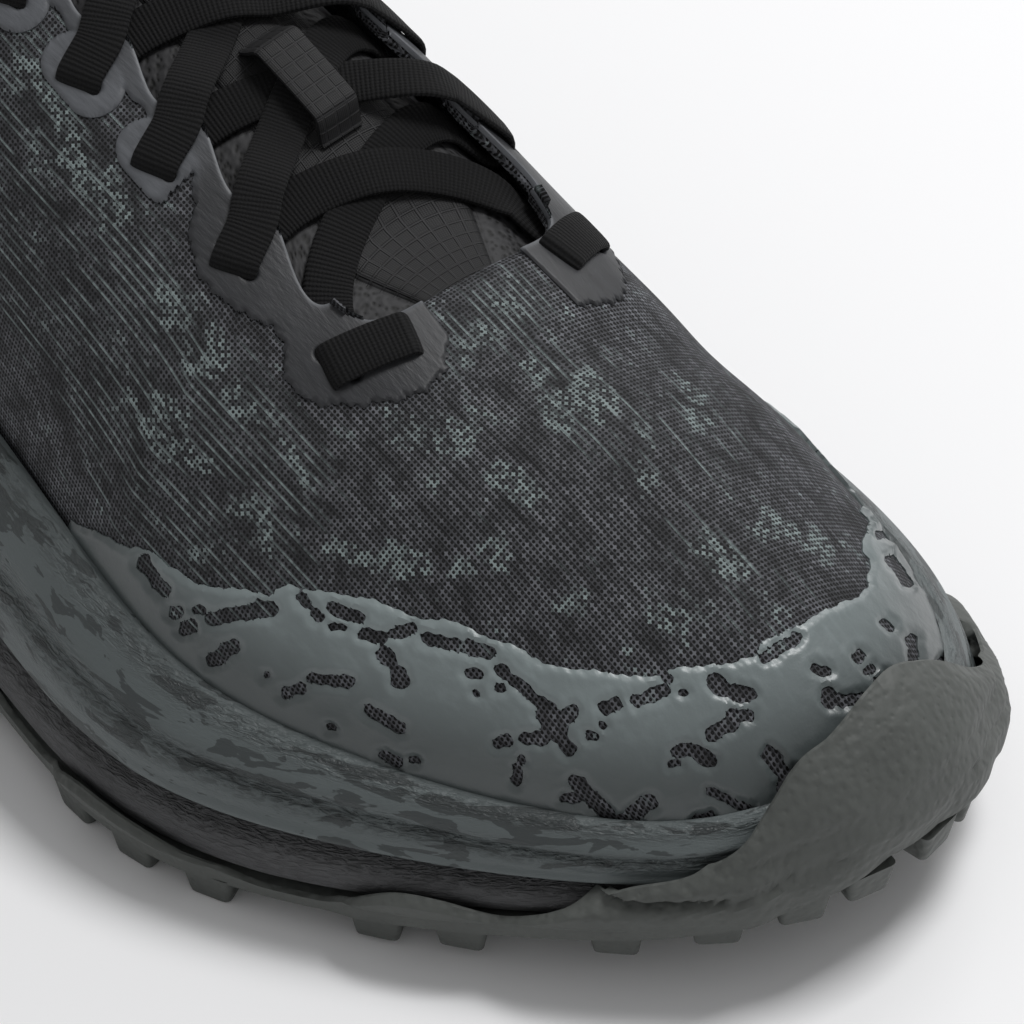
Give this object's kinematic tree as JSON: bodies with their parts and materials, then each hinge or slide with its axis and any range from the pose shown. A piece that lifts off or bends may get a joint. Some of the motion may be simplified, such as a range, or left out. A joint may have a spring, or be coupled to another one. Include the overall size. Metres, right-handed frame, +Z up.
{
  "type": "trail running shoe",
  "caption": "Right-foot trail running shoe with a lugged rubber outsole, two-layer foam midsole, knitted upper, wrap-round toe rand and criss-cross laces, standing empty.",
  "frame": {"origin": "bottom centre of the shoe's box, on the plane of the flat lug tips", "axes": "+X along the shoe towards the toe, +Y towards the inner (medial) side, +Z up"},
  "size_m": [0.3094, 0.1202, 0.105],
  "materials": {
    "olive_rubber": "matt, grained",
    "black_foam": "matt, grained foam skin",
    "grey_foam": "satin, flecked foam skin",
    "black_knit": "ribbed knit with pale flecks",
    "grey_film": "satin film with holes",
    "dark_film": "satin film",
    "ripstop": "fine square-grid weave",
    "black_webbing": "flat woven lace",
    "insole_cloth": "brushed cloth"
  },
  "bodies": {
    "root": {"outsole": "olive_rubber", "midsole_base": "black_foam", "midsole": "grey_foam", "insole": "insole_cloth", "upper": "black_knit", "toe_rand": "grey_film", "eyestay_lateral": "dark_film", "eyestay_medial": "dark_film", "tongue": "ripstop", "tongue_keeper": "ripstop", "lace_start_lateral": "black_webbing", "lace_start_medial": "black_webbing", "lace_cross_1": "black_webbing", "lace_cross_2": "black_webbing", "lace_cross_3": "black_webbing", "lace_cross_4": "black_webbing", "lace_cross_5": "black_webbing"}
  },
  "joints": []
}
